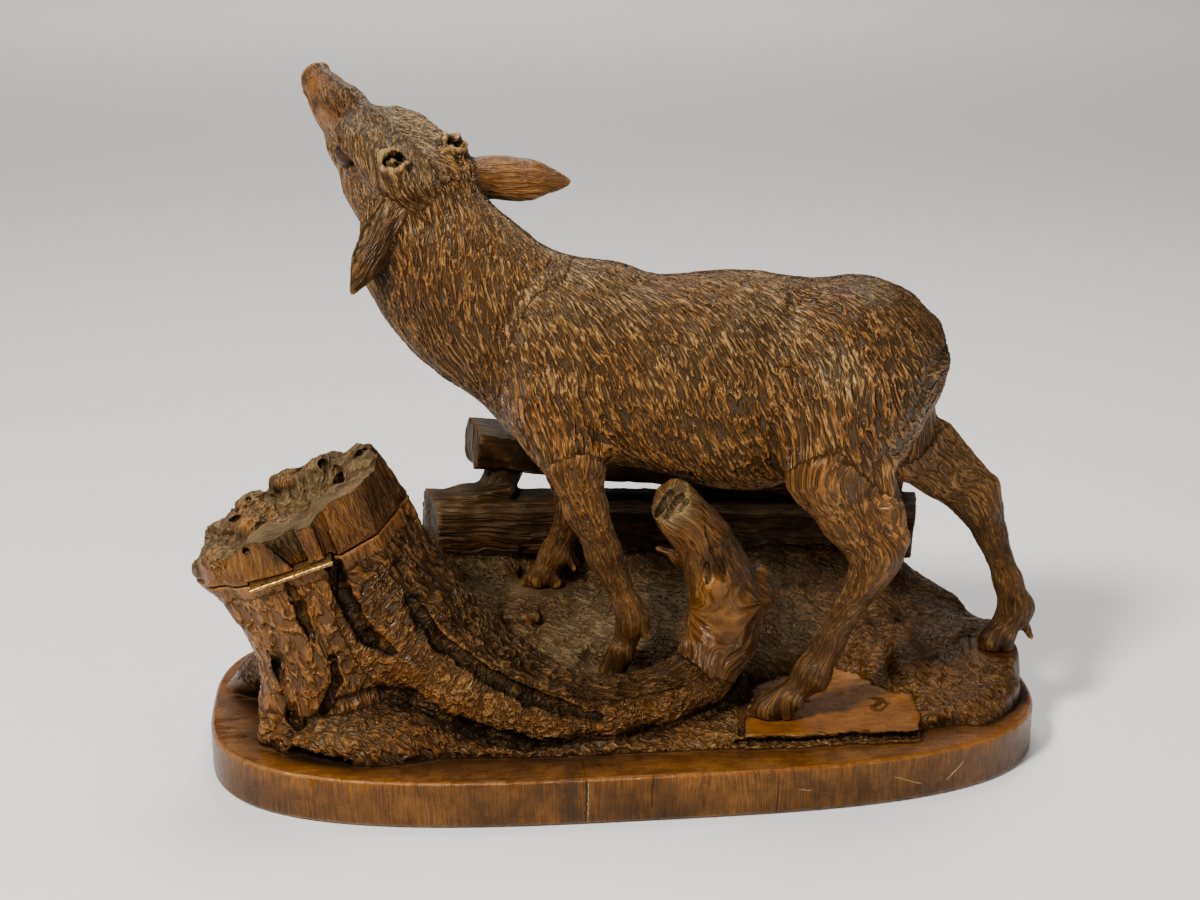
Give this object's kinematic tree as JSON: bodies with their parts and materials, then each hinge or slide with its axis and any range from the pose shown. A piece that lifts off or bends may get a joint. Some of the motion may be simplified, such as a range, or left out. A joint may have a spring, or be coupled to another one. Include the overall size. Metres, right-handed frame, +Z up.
{
  "type": "carved wooden inkstand",
  "caption": "Carved wooden inkstand: a deer without antlers on a rocky oval base, beside a hollow tree stump whose hinged lid covers the ink recess.",
  "frame": {"origin": "middle of the flat underside of the oval base", "axes": "+X along the base to the viewer's right, from the stump to the deer's tail; +Y to the back, where the logs lie; +Z up; -Y is the front"},
  "size_m": [0.3017, 0.1524, 0.2384],
  "materials": {
    "base_wood": "varnished wood, worn and dusty in the hollows",
    "deer_wood": "varnished wood with a satin shine on the high parts",
    "lid_wood": "rough bark, dull and grey on top",
    "hinge_brass": "aged brass"
  },
  "bodies": {
    "stand": {"carved_base": "base_wood", "deer": "deer_wood", "hinge_leaf_lower": "hinge_brass", "hinge_pin": "hinge_brass"},
    "lid": {"stump_lid": "lid_wood", "hinge_leaf_upper": "hinge_brass"}
  },
  "joints": [
    {"name": "lid_hinge", "type": "hinge", "parent": "stand", "child": "lid", "pos_m": [-0.11641, -0.05453, 0.08464], "axis": [0.9489, 0, 0.3156], "range_deg": [0, 100]}
  ]
}
